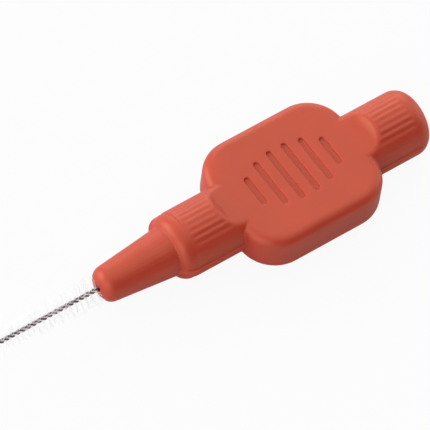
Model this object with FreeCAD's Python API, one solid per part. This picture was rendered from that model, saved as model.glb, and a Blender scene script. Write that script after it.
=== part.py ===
import FreeCAD, Part
import math
import os

# Interdental brush: a moulded plastic handle, a steel wire that is folded double and twisted,
# and the nylon bristles that the twist holds. Millimetres. +X runs from the wire's tip to the
# handle's rear end, +Z is up from the surface that the two barrels lie on, and the origin is
# on that surface under the middle of the length.

# Lengths along the axis, in the order that they follow from the tip
brush_length = 11.9
nose_length = 8.05
front_barrel_length = 6.9
pad_length = 16.0
rear_barrel_length = 7.1

# Nose cone
nose_tip_radius = 1.78
nose_root_radius = 2.6
nose_tip_rounding = 1.2

# Barrels, with the smooth collar behind the front one's shoulder
barrel_radius = 3.5
shoulder_rounding = 1.3
collar_length = 1.45
collar_step = 0.06
collar_step_run = 0.12
rear_rounding = 1.7

# Thumb pad
pad_width = 13.6
pad_thickness = 4.75
pad_corner_radius = 4.0
pad_edge_rounding = 1.1

# Scoops that carry the pad's flats into the barrels: a shallow lead-in, then a tighter hollow to the crest
scoop_reach = 1.4
scoop_lead_radius = 6.0
scoop_lead_fall = 0.26
scoop_radius = 1.9
scoop_crest_rounding = 0.8

# Grip grooves along the crown and the underside of each barrel
groove_count = 8
groove_pitch_angle = 11.0
groove_width = 0.44
groove_floor_width = 0.16
groove_depth = 0.12
groove_end_run = 0.3
groove_front_land = 0.1
groove_scoop_land = 0.15
groove_rear_land = 1.75

# Ledge of the mould's parting line along the sides of the barrels
ledge_proud = 0.2
ledge_thickness = 0.56

# Thumb grip sunk in the pad's upper face: slots across the pad, in an oval field
grip_count = 6
grip_pitch = 1.8
grip_width = 6.4
grip_slot_width = 0.6
grip_depth = 0.25

# Sides of the prisms that stand for the thin round wire and bristles
thin_sides = 5

# Wire
wire_diameter = 0.2
twist_pitch = 1.24
steps_per_turn = 10
fold_length = 0.36
fold_steps = 8
shank_length = 4.0
bore_clearance = 0.015

# Bristles
bristle_diameter = 0.075
bristle_clearance = 0.0075
bristles_per_row = 6
bristle_reach_at_nose = 1.7
bristle_reach_at_tip = 1.1
bristle_nose_gap = 0.12
bristle_tip_gap = 0.6

# Places that follow from the sizes above
overall_length = brush_length + nose_length + front_barrel_length + pad_length + rear_barrel_length
tip_x = -overall_length / 2
nose_x = tip_x + brush_length
shoulder_x = nose_x + nose_length
pad_front_x = shoulder_x + front_barrel_length
pad_rear_x = pad_front_x + pad_length
rear_x = pad_rear_x + rear_barrel_length
pad_x = (pad_front_x + pad_rear_x) / 2
axis_z = barrel_radius
pad_half = pad_thickness / 2
collar_radius = barrel_radius - collar_step
shoulder_y = collar_radius - shoulder_rounding
shoulder_start = math.asin(max(0.0, (nose_root_radius - shoulder_y) / shoulder_rounding))
shoulder_centre = (shoulder_x + shoulder_rounding * math.cos(shoulder_start), shoulder_y)
rear_round = min(rear_rounding, 0.9 * barrel_radius)
crest_front_x = pad_front_x - scoop_reach
crest_rear_x = pad_rear_x + scoop_reach
scoop_fall = barrel_radius - pad_half
lead_fall = min(scoop_lead_fall, 0.5 * scoop_fall)
lead_turn = math.acos(1 - lead_fall / scoop_lead_radius)
crest_turn = math.acos(math.cos(lead_turn) - (scoop_fall - lead_fall) / scoop_radius)
lead_run = scoop_lead_radius * math.sin(lead_turn)
scoop_run = lead_run + scoop_radius * (math.sin(crest_turn) - math.sin(lead_turn))
wire_radius = wire_diameter / 2
strand_radius = wire_radius + bristle_diameter / 2 + bristle_clearance
twist_rate = 2 * math.pi / twist_pitch
fold_x = tip_x + fold_length
strand_steps = int((brush_length + shank_length - fold_length) * steps_per_turn / twist_pitch)
shank_end_x = fold_x + strand_steps * twist_pitch / steps_per_turn


def vector(x, y, z):
    return FreeCAD.Vector(x, y, z)


def arc(centre, radius, start_angle, end_angle):
    """Start, middle and end of an arc round a centre, for an outline."""
    points = []
    for angle in (start_angle, (start_angle + end_angle) / 2, end_angle):
        turn = math.radians(angle)
        points.append((centre[0] + radius * math.cos(turn), centre[1] + radius * math.sin(turn)))
    return points


def outline_face(steps):
    """Face in the XY plane whose outline goes from point to point, and round the arcs among them."""
    edges = []
    ends = [step if isinstance(step, list) else [step] for step in steps]
    for step, following in zip(ends, ends[1:] + ends[:1]):
        points = [vector(x, y, 0) for x, y in step]
        if len(points) == 3:
            edges.append(Part.Arc(*points).toShape())
        next_start = vector(following[0][0], following[0][1], 0)
        if not points[-1].isEqual(next_start, 1e-7):
            edges.append(Part.makeLine(points[-1], next_start))
    return Part.Face(Part.Wire(edges))


def turned_core():
    """Nose, shoulder, collar and one barrel that runs right through the pad, as a turned profile."""
    # The rounding of the nose's tip is tangent to its flat face and to the cone
    slope = math.atan2(nose_root_radius - nose_tip_radius, nose_length)
    tip_round = min(nose_tip_rounding, 0.9 * nose_tip_radius)
    tip_centre_y = nose_tip_radius + tip_round * math.tan(slope) - tip_round / math.cos(slope)
    tip_centre = (nose_x + tip_round, tip_centre_y)
    rear_centre = (rear_x - rear_round, barrel_radius - rear_round)
    step_x = shoulder_x + collar_length
    profile = outline_face([
        (nose_x, 0.0),
        arc(tip_centre, tip_round, 180, 90 + math.degrees(slope)),
        (shoulder_x, nose_root_radius),
        arc(shoulder_centre, shoulder_rounding, 180 - math.degrees(shoulder_start), 90),
        (step_x, collar_radius),
        (step_x + collar_step_run, barrel_radius),
        arc(rear_centre, rear_round, 90, 0),
        (rear_x, 0.0),
    ])
    return profile.revolve(vector(0, 0, 0), vector(1, 0, 0), 360)


def scoop_cutter():
    """Prism along Y over the pad, with a hollow at each end, that takes the crown off the barrel."""
    lead = math.degrees(lead_turn)
    crest = math.degrees(crest_turn)
    top = 2 * barrel_radius
    lead_z = pad_half + scoop_lead_radius
    front_low_x = crest_front_x + scoop_run
    rear_low_x = crest_rear_x - scoop_run
    # The hollow's centre lies on the lead-in's radius at the point where the two meet
    inward = (scoop_lead_radius - scoop_radius) * math.sin(lead_turn)
    hollow_z = lead_z - (scoop_lead_radius - scoop_radius) * math.cos(lead_turn)
    face = outline_face([
        (crest_front_x, top),
        arc((front_low_x - inward, hollow_z), scoop_radius, 270 - crest, 270 - lead),
        arc((front_low_x, lead_z), scoop_lead_radius, 270 - lead, 270),
        arc((rear_low_x, lead_z), scoop_lead_radius, 270, 270 + lead),
        arc((rear_low_x + inward, hollow_z), scoop_radius, 270 + lead, 270 + crest),
        (crest_rear_x, top),
    ])
    face.rotate(vector(0, 0, 0), vector(1, 0, 0), 90)
    face.translate(vector(0, 2 * barrel_radius, 0))
    return face.extrude(vector(0, -4 * barrel_radius, 0))


def scooped_core():
    """Turned core with the scoops cut above and below, and the rims of both scoops rounded."""
    near = 0.01
    core = turned_core()
    cutter = scoop_cutter()
    core = core.cut([cutter, cutter.mirror(vector(0, 0, 0), vector(0, 0, 1))])
    rims = []
    for edge in core.Edges:
        box = edge.BoundBox
        in_scoop = box.XMin > crest_front_x - near and box.XMax < crest_rear_x + near
        straight_across = box.XLength < near
        if in_scoop and not straight_across:
            rims.append(edge)
    return core.makeFillet(scoop_crest_rounding, rims)


def thumb_pad():
    """Flat rounded-rectangle pad with its upper and lower edges rounded."""
    half_width = pad_width / 2
    corner = min(pad_corner_radius, 0.95 * half_width, 0.45 * pad_length)
    edge_round = min(pad_edge_rounding, 0.9 * pad_half, 0.9 * corner)
    front, rear = pad_front_x + corner, pad_rear_x - corner
    side = half_width - corner
    outline = outline_face([
        arc((rear, -side), corner, -90, 0),
        arc((rear, side), corner, 0, 90),
        arc((front, side), corner, 90, 180),
        arc((front, -side), corner, 180, 270),
    ])
    outline.translate(vector(0, 0, -pad_half))
    block = outline.extrude(vector(0, 0, pad_thickness))
    rims = [edge for edge in block.Edges if edge.BoundBox.ZLength < edge_round / 2]
    return block.makeFillet(edge_round, rims)


def parting_ledges():
    """Thin ledges in the plane of the axis, on both sides of the shoulder and of the two barrels."""
    reach = barrel_radius + ledge_proud
    front_end = pad_front_x + pad_edge_rounding
    front = outline_face([
        (shoulder_centre[0] + shoulder_y - reach, 0.0),
        arc(shoulder_centre, reach - shoulder_y, 180, 90),
        (front_end, reach),
        (front_end, 0.0),
    ])
    rear_start = pad_rear_x - pad_edge_rounding
    fade_x = rear_x - rear_round
    fade_end = fade_x + rear_round / 2
    rear = outline_face([
        (rear_start, 0.0),
        (rear_start, reach),
        (fade_x, reach),
        (fade_end, barrel_radius - rear_round / 2),
        (fade_end, 0.0),
    ])
    ledges = []
    for face in (front, rear):
        face.translate(vector(0, 0, -ledge_thickness / 2))
        side = face.extrude(vector(0, 0, ledge_thickness))
        ledges += [side, side.mirror(vector(0, 0, 0), vector(0, 1, 0))]
    return ledges


def scoop_edge_run(angle):
    """Length from the scoop's crest to its edge, or to the pad, at an angle round the barrel."""
    rise = max(0.0, barrel_radius * math.cos(math.radians(angle)) - pad_half)
    if rise < lead_fall:
        from_low_end = scoop_lead_radius * math.sin(math.acos(1 - rise / scoop_lead_radius))
    else:
        turn = math.acos(math.cos(lead_turn) - (rise - lead_fall) / scoop_radius)
        from_low_end = lead_run + scoop_radius * (math.sin(turn) - math.sin(lead_turn))
    return min(scoop_run - from_low_end, scoop_reach)


def groove_cutter(start, end):
    """Cutter for a groove on the crown between two places on the axis, with sloping sides and ends."""
    rings = []
    for rise in (-1, 1):
        half = (groove_width + rise * (groove_width - groove_floor_width)) / 2
        low_x = start - rise * groove_end_run
        high_x = end + rise * groove_end_run
        z = barrel_radius + rise * groove_depth
        corners = [(low_x, -half), (high_x, -half), (high_x, half), (low_x, half), (low_x, -half)]
        rings.append(Part.makePolygon([vector(x, y, z) for x, y in corners]))
    return Part.makeLoft(rings, True, True)


def barrel_grooves():
    """Cutters for the grooves, above and below, on both barrels."""
    front_start = shoulder_x + collar_length + collar_step_run + groove_front_land
    rear_end = rear_x - groove_rear_land
    cutters = []
    for index in range(groove_count):
        angle = (index - (groove_count - 1) / 2) * groove_pitch_angle
        land = groove_scoop_land - scoop_edge_run(angle)
        for start, end in ((front_start, crest_front_x - land), (crest_rear_x + land, rear_end)):
            for side in (0, 180):
                cutter = groove_cutter(start, end)
                cutter.rotate(vector(0, 0, 0), vector(1, 0, 0), angle + side)
                cutters.append(cutter)
    return cutters


def thumb_grip():
    """Cutters for the round-ended slots across the pad's upper face, whose ends lie on an oval."""
    end_round = grip_slot_width / 2
    half_field = grip_count * grip_pitch / 2
    cutters = []
    for index in range(grip_count):
        along = (index - (grip_count - 1) / 2) * grip_pitch
        half_slot = grip_width / 2 * math.sqrt(1 - (along / half_field) ** 2)
        centre_y = half_slot - end_round
        slot = outline_face([
            arc((pad_x + along, centre_y), end_round, 0, 180),
            arc((pad_x + along, -centre_y), end_round, 180, 360),
        ])
        slot.translate(vector(0, 0, pad_half - grip_depth))
        cutters.append(slot.extrude(vector(0, 0, 2 * grip_depth)))
    return cutters


def thin_section(radius, centre, across, upward):
    """Ring of straight sides that stands for the round section of the wire or of a bristle."""
    corners = []
    for index in range(thin_sides + 1):
        angle = 2 * math.pi * (index % thin_sides) / thin_sides
        corners.append(centre + across * (radius * math.cos(angle)) + upward * (radius * math.sin(angle)))
    return Part.makePolygon(corners)


def twist_point(x, offset):
    """Point at the given distance from the axis on the line that joins the two strands at x."""
    angle = twist_rate * (x - tip_x)
    return vector(x, offset * math.cos(angle), offset * math.sin(angle))


def wire_path():
    """Points of the wire's centre line: up one strand to the tip, round the fold and down the other."""
    step = twist_pitch / steps_per_turn
    strand_x = [fold_x + index * step for index in range(strand_steps + 1)]
    fold_depth = fold_length - wire_radius
    path = [twist_point(x, strand_radius) for x in reversed(strand_x)]
    for index in range(1, fold_steps):
        turn = math.pi * index / fold_steps
        path.append(twist_point(fold_x - fold_depth * math.sin(turn), strand_radius * math.cos(turn)))
    return path + [twist_point(x, -strand_radius) for x in strand_x]


def twisted_wire():
    """One wire, folded at the tip, whose two strands twist round each other as far as the shank's end."""
    path = wire_path()
    befores = [path[0]] + path[:-1]
    afters = path[1:] + [path[-1]]
    across = vector(0, 0, 1)
    rings = []
    for before, here, after in zip(befores, path, afters):
        direction = (after - before).normalize()
        # Each ring keeps the last one's turn about the wire, so that the skin doesn't wring
        across = (across - direction * across.dot(direction)).normalize()
        rings.append(thin_section(wire_radius, here, across, direction.cross(across)))
    return Part.makeLoft(rings, True, True)


def moulded_handle():
    """The handle, with the bore that the wire's shank is set in."""
    handle = scooped_core().fuse([thumb_pad()] + parting_ledges()).removeSplitter()
    bore_radius = strand_radius + wire_radius + bore_clearance
    bore_end_x = shank_end_x + wire_radius + bore_clearance
    bore = Part.makeCylinder(bore_radius, bore_end_x - tip_x, vector(tip_x, 0, 0), vector(1, 0, 0))
    return handle.cut(barrel_grooves() + thumb_grip() + [bore])


def bristle(x):
    """One straight bristle, held between the strands and square to the line from strand to strand."""
    share = (x - tip_x) / brush_length
    reach = bristle_reach_at_tip + (bristle_reach_at_nose - bristle_reach_at_tip) * share
    angle = twist_rate * (x - tip_x)
    direction = vector(0, -math.sin(angle), math.cos(angle))
    along_axis = vector(1, 0, 0)
    lower_end = along_axis * x - direction * reach
    section = thin_section(bristle_diameter / 2, lower_end, along_axis, direction.cross(along_axis))
    return Part.Face(section).extrude(direction * (2 * reach))


def bristle_rows():
    """The bristles of each half turn of the wire, from the nose towards the tip."""
    row_length = twist_pitch / 2
    row_count = int((brush_length - bristle_nose_gap - bristle_tip_gap) / row_length)
    rows = []
    for row in range(row_count):
        row_end = nose_x - bristle_nose_gap - row * row_length
        spacing = row_length / bristles_per_row
        places = [row_end - (index + 0.5) * spacing for index in range(bristles_per_row)]
        rows.append(Part.makeCompound([bristle(x) for x in places]))
    return rows


def write(name, shape):
    """Set a piece on the ground and write it to its file."""
    placed = shape.copy()
    placed.translate(vector(0, 0, axis_z))
    placed.exportStep("parts/%s.step" % name)


os.makedirs("parts", exist_ok=True)
write("handle", moulded_handle())
write("wire", twisted_wire())
for number, row in enumerate(bristle_rows(), start=1):
    write("bristle_row_%02d" % number, row)
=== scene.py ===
import math
import random

import bmesh
import bpy
from mathutils import Matrix, Vector


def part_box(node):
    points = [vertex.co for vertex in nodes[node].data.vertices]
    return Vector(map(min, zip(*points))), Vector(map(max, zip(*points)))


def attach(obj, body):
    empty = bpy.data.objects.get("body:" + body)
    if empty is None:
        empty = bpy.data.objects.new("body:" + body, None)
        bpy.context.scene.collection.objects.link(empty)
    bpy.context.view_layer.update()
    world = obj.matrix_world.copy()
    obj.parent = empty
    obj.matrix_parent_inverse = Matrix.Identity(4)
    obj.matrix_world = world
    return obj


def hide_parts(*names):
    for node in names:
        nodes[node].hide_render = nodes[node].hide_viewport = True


# Interdental brush: a moulded plastic handle, a twisted steel wire and nylon bristles. Metres, in the
# frame of the solids: +X runs from the wire's tip to the handle's rear end, and +Z is up.

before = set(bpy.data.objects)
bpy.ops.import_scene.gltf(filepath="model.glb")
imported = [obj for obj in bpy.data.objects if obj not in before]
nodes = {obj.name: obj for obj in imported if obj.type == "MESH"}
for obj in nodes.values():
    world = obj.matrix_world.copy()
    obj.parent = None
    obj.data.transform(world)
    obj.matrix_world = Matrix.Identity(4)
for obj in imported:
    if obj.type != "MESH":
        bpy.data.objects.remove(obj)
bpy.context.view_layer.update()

mm = 0.001
handle_low, handle_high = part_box("handle")
wire_low, wire_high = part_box("wire")
tip_x = wire_low.x
nose_x = handle_low.x
axis_z = (handle_low.z + handle_high.z) / 2

# Skin of the moulded handle, whose edges have small radii
skin_grid = 0.06 * mm
skin_smoothing = 0.5
skin_rounds = 9
skin_triangles = 180_000
merge_distance = 0.0001 * mm

# Ribs of the two barrels, above and below, which the mould leaves as low waves
barrel_radius = (handle_high.z - handle_low.z) / 2
rib_front_x = nose_x + 9.65 * mm
pad_front_x = nose_x + 14.95 * mm
pad_rear_x = nose_x + 30.95 * mm
rib_rear_x = handle_high.x - 1.7 * mm
rib_zones = ((rib_front_x, pad_front_x), (pad_rear_x, rib_rear_x))
rib_depth = 0.15 * mm
rib_half_angle = math.radians(45)
rib_rounds = 36

# Wire
wire_diameter = 0.2 * mm
strand_radius = 0.145 * mm
twist_pitch = 1.24 * mm
fold_length = 0.36 * mm
steps_per_turn = 28
fold_steps = 16
wire_bevel_steps = 4

# Bristles
bristle_diameter = 0.042 * mm
bristles_per_fan = 12
bristle_reach_at_nose = 1.7 * mm
bristle_reach_at_tip = 1.1 * mm
bristle_nose_gap = 0.2 * mm
bristle_sides = 5
bristle_spans = 4

# Chance in the bristles: the place in a bristle's own share of the row, the shortest share of the reach, the
# turn and lean in radians, and the bow of an end
bristle_seed = 7
bristle_place_range = (0.2, 0.8)
bristle_least_reach = 0.93
bristle_turn_scatter = 0.10
bristle_lean_scatter = 0.05
bristle_bow_scatter = 0.10 * mm

# Studio: the share of white that the floor and the room show by themselves, and the light
white_share_seen = 0.93
white_share_reflected = 0.06
floor_paint = (0.68, 0.68, 0.68, 1.0)
floor_radius = 4.0
floor_sides = 64
softbox_distance = 0.6
room_share = 0.1

# The photograph's view
photo_size = 430
pixels_per_metre = 10.20 / mm
pad_pixel = Vector((291.11, 183.76))
pad_centre = Vector(((pad_front_x + pad_rear_x) / 2, 0.0, axis_z))
camera_distance = 0.6
image_right = Vector((0.8178, -0.5700, 0.0804)).normalized()
image_up = Vector((0.4438, 0.7134, 0.5425)).normalized()


def add_node(material, kind, **inputs):
    """Node of a material's tree. Inputs are named with _ for a space, and take a value or another socket."""
    node = material.node_tree.nodes.new(kind)
    for name, value in inputs.items():
        socket = node.inputs[name.replace("_", " ")]
        if isinstance(value, bpy.types.NodeSocket):
            material.node_tree.links.new(value, socket)
        else:
            socket.default_value = value
    return node


def new_material(name):
    """Material with an empty node tree, and its output node."""
    material = bpy.data.materials.new(name)
    material.use_nodes = True
    material.node_tree.nodes.clear()
    return material, material.node_tree.nodes.new("ShaderNodeOutputMaterial")


def noise(material, scale, detail=2.0, roughness=0.5):
    """Value of a noise on the piece's own coordinates, with features of about 1 / scale metres."""
    place = add_node(material, "ShaderNodeTexCoord").outputs["Object"]
    node = add_node(
        material, "ShaderNodeTexNoise", Vector=place, Scale=scale, Detail=detail, Roughness=roughness,
    )
    return node.outputs["Fac"]


def ramp(material, value, low, high, start=0.3, end=0.7):
    """Value moved from the range start to end into the range low to high."""
    node = add_node(material, "ShaderNodeMapRange", Value=value)
    for name, number in (("From Min", start), ("From Max", end), ("To Min", low), ("To Max", high)):
        node.inputs[name].default_value = number
    return node.outputs["Result"]


def mix_colours(material, factor, first, second):
    """Colour between two others by a factor."""
    node = material.node_tree.nodes.new("ShaderNodeMix")
    node.data_type = "RGBA"
    for socket, value in ((node.inputs[0], factor), (node.inputs[6], first), (node.inputs[7], second)):
        if isinstance(value, bpy.types.NodeSocket):
            material.node_tree.links.new(value, socket)
        else:
            socket.default_value = value
    return node.outputs[2]


def moulded_plastic():
    """Satin orange-red polypropylene with the fine grain of a spark-eroded mould."""
    material, output = new_material("moulded_plastic")
    mottle = ramp(material, noise(material, 260.0, 3.0), 0.0, 1.0)
    grain = noise(material, 9000.0, 2.0, 0.6)
    colour = mix_colours(material, mottle, (0.530, 0.043, 0.021, 1.0), (0.570, 0.047, 0.024, 1.0))
    roughness = ramp(material, grain, 0.40, 0.52)
    bump = add_node(material, "ShaderNodeBump", Strength=0.25, Distance=0.02 * mm, Height=grain)
    plastic = add_node(
        material, "ShaderNodeBsdfPrincipled",
        Base_Color=colour, Roughness=roughness, IOR=1.53, Normal=bump.outputs["Normal"],
        Specular_IOR_Level=0.7, Specular_Tint=(1.0, 0.95, 0.62, 1.0),
        Subsurface_Weight=0.35, Subsurface_Scale=0.8 * mm, Subsurface_Radius=(1.0, 0.25, 0.12),
    )
    material.node_tree.links.new(plastic.outputs["BSDF"], output.inputs["Surface"])
    return material


def drawn_steel():
    """Stainless wire with the faint streaks of drawing, coloured far darker than bare steel as painted
    shade.
    """
    material, output = new_material("drawn_steel")
    streaks = noise(material, 5000.0, 2.0)
    # Painted shade: the base colour is kept dark to stand in for the dark surroundings that the wire
    # reflects.
    colour = mix_colours(material, streaks, (0.16, 0.11, 0.105, 1.0), (0.26, 0.195, 0.185, 1.0))
    roughness = ramp(material, streaks, 0.06, 0.12)
    steel = add_node(
        material, "ShaderNodeBsdfPrincipled", Base_Color=colour, Metallic=1.0, Roughness=roughness,
    )
    material.node_tree.links.new(steel.outputs["BSDF"], output.inputs["Surface"])
    return material


def nylon_filament():
    """Clear white nylon."""
    material, output = new_material("nylon_filament")
    cloud = noise(material, 3000.0, 1.0)
    colour = mix_colours(material, cloud, (0.92, 0.91, 0.93, 1.0), (0.97, 0.97, 0.98, 1.0))
    roughness = ramp(material, cloud, 0.40, 0.50)
    nylon = add_node(
        material, "ShaderNodeBsdfPrincipled",
        Base_Color=colour, Roughness=roughness, IOR=1.04, Transmission_Weight=0.6,
    )
    material.node_tree.links.new(nylon.outputs["BSDF"], output.inputs["Surface"])
    return material


def calculate(material, operation, first, second):
    """Result of a sum, product or larger of two values, each a number or another socket."""
    node = material.node_tree.nodes.new("ShaderNodeMath")
    node.operation = operation
    for socket, value in zip(node.inputs, (first, second)):
        if isinstance(value, bpy.types.NodeSocket):
            material.node_tree.links.new(value, socket)
        else:
            socket.default_value = value
    return node.outputs[0]


def white_share(backdrop):
    """Share of white that the floor or the room shows to the camera, through clear pieces and reflected."""
    rays = backdrop.node_tree.nodes.new("ShaderNodeLightPath").outputs
    seen = calculate(backdrop, "MAXIMUM", rays["Is Camera Ray"], rays["Is Transmission Ray"])
    seen = calculate(backdrop, "MULTIPLY", seen, white_share_seen)
    reflected = calculate(backdrop, "MULTIPLY", rays["Is Glossy Ray"], white_share_reflected)
    return calculate(backdrop, "MAXIMUM", seen, reflected)


def white_floor():
    """Pale floor that keeps a faint shadow."""
    material, output = new_material("white_floor")
    paint = add_node(material, "ShaderNodeBsdfDiffuse", Color=floor_paint)
    white = add_node(material, "ShaderNodeEmission", Color=(1.0, 1.0, 1.0, 1.0), Strength=1.0)
    mixed = add_node(material, "ShaderNodeMixShader", Fac=white_share(material))
    links = material.node_tree.links
    links.new(paint.outputs[0], mixed.inputs[1])
    links.new(white.outputs[0], mixed.inputs[2])
    links.new(mixed.outputs[0], output.inputs["Surface"])
    return material


def add_piece(name, mesh, material, slot, *replaced):
    """Object of a finished mesh, which stands for solids of the same place."""
    piece = bpy.data.objects.new(name, mesh)
    bpy.context.scene.collection.objects.link(piece)
    mesh.materials.clear()
    mesh.materials.append(material)
    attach(piece, "root")
    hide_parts(*replaced)
    return piece


def baked_mesh(holder):
    """Mesh of an object with its modifiers applied. The object is removed."""
    bpy.context.scene.collection.objects.link(holder)
    mesh = bpy.data.meshes.new_from_object(holder.evaluated_get(bpy.context.evaluated_depsgraph_get()))
    bpy.data.objects.remove(holder)
    return mesh


def on_ribs(place):
    """Whether a place of the skin lies on the ribs of a barrel."""
    spoke = Vector((0.0, place.y, place.z - axis_z))
    in_zone = any(start < place.x < end for start, end in rib_zones)
    in_depth = spoke.length > barrel_radius - rib_depth
    return in_zone and in_depth and abs(spoke.z) > spoke.length * math.cos(rib_half_angle)


def soften_ribs(mesh):
    """Wear the ribs of a skin in millimetres down to low waves."""
    shape = bmesh.new()
    shape.from_mesh(mesh)
    ribs = [vert for vert in shape.verts if on_ribs(vert.co * mm)]
    for _ in range(rib_rounds):
        bmesh.ops.smooth_vert(
            shape, verts=ribs, factor=skin_smoothing, use_axis_x=True, use_axis_y=True, use_axis_z=True,
        )
    shape.to_mesh(mesh)
    shape.free()


def moulded_handle(material):
    """Skin over the handle's solid, with the small radii that a mould leaves on every edge."""
    shape = bmesh.new()
    shape.from_mesh(nodes["handle"].data)
    bmesh.ops.remove_doubles(shape, verts=shape.verts, dist=merge_distance)
    # A remesh takes no grid under a tenth of a millimetre, so the skin is made in millimetres
    bmesh.ops.scale(shape, vec=(1 / mm, 1 / mm, 1 / mm), verts=shape.verts)
    mesh = bpy.data.meshes.new("moulded_handle")
    shape.to_mesh(mesh)
    shape.free()
    for thinned in (False, True):
        holder = bpy.data.objects.new("moulded_handle", mesh)
        if thinned:
            modifier = holder.modifiers.new("thin", "DECIMATE")
            modifier.ratio = skin_triangles / (2 * len(mesh.polygons))
        else:
            modifier = holder.modifiers.new("skin", "REMESH")
            modifier.mode = "VOXEL"
            modifier.voxel_size = skin_grid / mm
            modifier = holder.modifiers.new("radii", "SMOOTH")
            modifier.factor = skin_smoothing
            modifier.iterations = skin_rounds
        mesh = baked_mesh(holder)
        if not thinned:
            soften_ribs(mesh)
    mesh.transform(Matrix.Scale(mm, 4))
    mesh.shade_smooth()
    return add_piece("moulded_handle", mesh, material, "handle", "handle")


def twist_point(x, offset):
    """Point at a distance from the axis on the line that joins the two strands at x."""
    angle = 2 * math.pi * (x - tip_x) / twist_pitch
    return Vector((x, offset * math.cos(angle), axis_z + offset * math.sin(angle)))


def twisted_wire(material):
    """One round wire, folded at the tip, whose strands twist round each other into the nose."""
    step = twist_pitch / steps_per_turn
    fold_x = tip_x + fold_length
    fold_depth = fold_length - wire_diameter / 2
    strand_steps = int((wire_high.x - fold_x) / step)
    strand_x = [fold_x + index * step for index in range(strand_steps + 1)]
    path = [twist_point(x, strand_radius) for x in reversed(strand_x)]
    for index in range(1, fold_steps):
        turn = math.pi * index / fold_steps
        path.append(twist_point(fold_x - fold_depth * math.sin(turn), strand_radius * math.cos(turn)))
    path += [twist_point(x, -strand_radius) for x in strand_x]

    curve = bpy.data.curves.new("wire_line", "CURVE")
    curve.dimensions = "3D"
    curve.bevel_depth = wire_diameter / 2
    curve.bevel_resolution = wire_bevel_steps
    curve.use_fill_caps = True
    line = curve.splines.new("POLY")
    line.points.add(len(path) - 1)
    for point, place in zip(line.points, path):
        point.co = (*place, 1.0)
    mesh = baked_mesh(bpy.data.objects.new("wire_line", curve))
    mesh.shade_smooth()
    return add_piece("twisted_wire", mesh, material, "wire", "wire")


def bristle_rod():
    """Thin straight rod along Z, with half lengths of 1 and rings to bend at."""
    shape = bmesh.new()
    bmesh.ops.create_cone(
        shape, cap_ends=True, segments=bristle_sides, depth=2.0,
        radius1=bristle_diameter / 2, radius2=bristle_diameter / 2,
    )
    sides = [edge for edge in shape.edges if edge.calc_length() > 1.0]
    bmesh.ops.subdivide_edges(shape, edges=sides, cuts=bristle_spans - 1, use_grid_fill=True)
    rod = bpy.data.meshes.new("bristle_rod")
    shape.to_mesh(rod)
    shape.free()
    return rod


def add_bristle(shape, rod, x, chance):
    """One bristle of a fan: a rod through the wire, whose ends bow a little along the wire."""
    share = (x - tip_x) / (nose_x - tip_x)
    reach = bristle_reach_at_tip + (bristle_reach_at_nose - bristle_reach_at_tip) * share
    reach *= chance.uniform(bristle_least_reach, 1.0)
    angle = 2 * math.pi * (x - tip_x) / twist_pitch + chance.gauss(0.0, bristle_turn_scatter)
    lean = chance.gauss(0.0, bristle_lean_scatter)
    bow = chance.gauss(0.0, bristle_bow_scatter)
    outward = Vector((lean, -math.sin(angle), math.cos(angle)))
    turn = Vector((0.0, 0.0, 1.0)).rotation_difference(outward).to_matrix()
    first = len(shape.verts)
    shape.from_mesh(rod)
    shape.verts.ensure_lookup_table()
    for vert in shape.verts[first:]:
        height = vert.co.z
        vert.co.z *= reach
        vert.co = turn @ vert.co + Vector((x + bow * height ** 2, 0.0, axis_z))


def bristle_fans(material):
    """The bristles of each half turn of the wire, one piece for each row of the solids."""
    rows = sorted(name for name in nodes if name.startswith("bristle_row"))
    rod = bristle_rod()
    chance = random.Random(bristle_seed)
    row_length = twist_pitch / 2
    for number, row in enumerate(rows):
        shape = bmesh.new()
        row_end = nose_x - bristle_nose_gap - number * row_length
        for index in range(bristles_per_fan):
            x = row_end - (index + chance.uniform(*bristle_place_range)) * row_length / bristles_per_fan
            add_bristle(shape, rod, x, chance)
        mesh = bpy.data.meshes.new(row.replace("row", "fan"))
        shape.to_mesh(mesh)
        shape.free()
        add_piece(row.replace("row", "fan"), mesh, material, "bristle", row)


def add_floor():
    """Pale floor under the object."""
    shape = bmesh.new()
    bmesh.ops.create_circle(shape, cap_ends=True, segments=floor_sides, radius=floor_radius)
    mesh = bpy.data.meshes.new("floor")
    shape.to_mesh(mesh)
    shape.free()
    mesh.materials.append(white_floor())
    floor = bpy.data.objects.new("floor", mesh)
    bpy.context.scene.collection.objects.link(floor)


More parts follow.
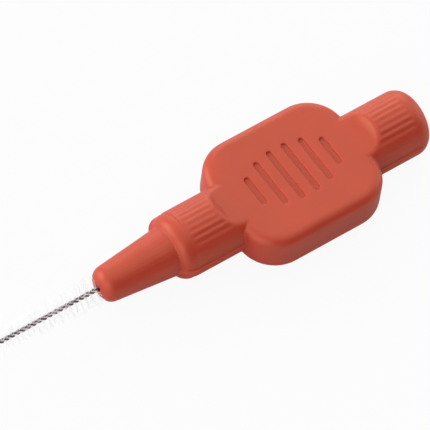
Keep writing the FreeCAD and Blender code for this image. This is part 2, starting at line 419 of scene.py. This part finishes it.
def add_softbox(name, azimuth, elevation, size, share):
    """Square area lamp that faces the object from a side, in degrees from +X and from the floor.

    A matt surface that faces the lamp shows this share of its written colour.
    """
    lamp = bpy.data.lights.new(name, "AREA")
    lamp.size = size
    lamp.energy = share * (math.pi * softbox_distance) ** 2
    holder = bpy.data.objects.new(name, lamp)
    direction = Matrix.Rotation(math.radians(azimuth), 3, "Z") @ (
        Matrix.Rotation(math.radians(-elevation), 3, "Y") @ Vector((1.0, 0.0, 0.0))
    )
    holder.location = direction * softbox_distance
    holder.rotation_euler = direction.to_track_quat("Z", "Y").to_euler()
    bpy.context.scene.collection.objects.link(holder)


def add_light():
    """Low key from beyond the wire's tip, low fills behind and at both ends, and a broad top light."""
    add_softbox("key_light", 135, 18, 0.5, 0.79)
    add_softbox("tip_end_light", 200, 22, 0.5, 0.45)
    add_softbox("rear_end_light", 0, 18, 0.5, 0.33)
    add_softbox("back_light", 60, 20, 0.5, 0.42)
    add_softbox("top_light", 40, 80, 0.8, 0.60)
    world = bpy.data.worlds.new("studio")
    bpy.context.scene.world = world
    world.use_nodes = True
    surround = world.node_tree.nodes["Background"]
    surround.inputs["Color"].default_value = (1.0, 1.0, 1.0, 1.0)
    strength = calculate(world, "MAXIMUM", white_share(world), room_share)
    world.node_tree.links.new(strength, surround.inputs["Strength"])


def add_camera():
    """Long-lens camera at the photograph's angle and framing."""
    towards_camera = image_right.cross(image_up)
    offset = (Vector((photo_size / 2, photo_size / 2)) - pad_pixel) / pixels_per_metre
    aim = pad_centre + image_right * offset.x - image_up * offset.y
    lens = bpy.data.cameras.new("camera")
    lens.lens = lens.sensor_width * camera_distance * pixels_per_metre / photo_size
    lens.clip_start = 0.01
    lens.clip_end = 20.0
    camera = bpy.data.objects.new("camera", lens)
    turn = Matrix((image_right, image_up, towards_camera)).transposed().to_4x4()
    camera.matrix_world = Matrix.Translation(aim + towards_camera * camera_distance) @ turn
    bpy.context.scene.collection.objects.link(camera)
    bpy.context.scene.camera = camera


moulded_handle(moulded_plastic())
twisted_wire(drawn_steel())
bristle_fans(nylon_filament())
add_floor()
add_light()
add_camera()
bpy.context.scene.view_settings.view_transform = "Standard"
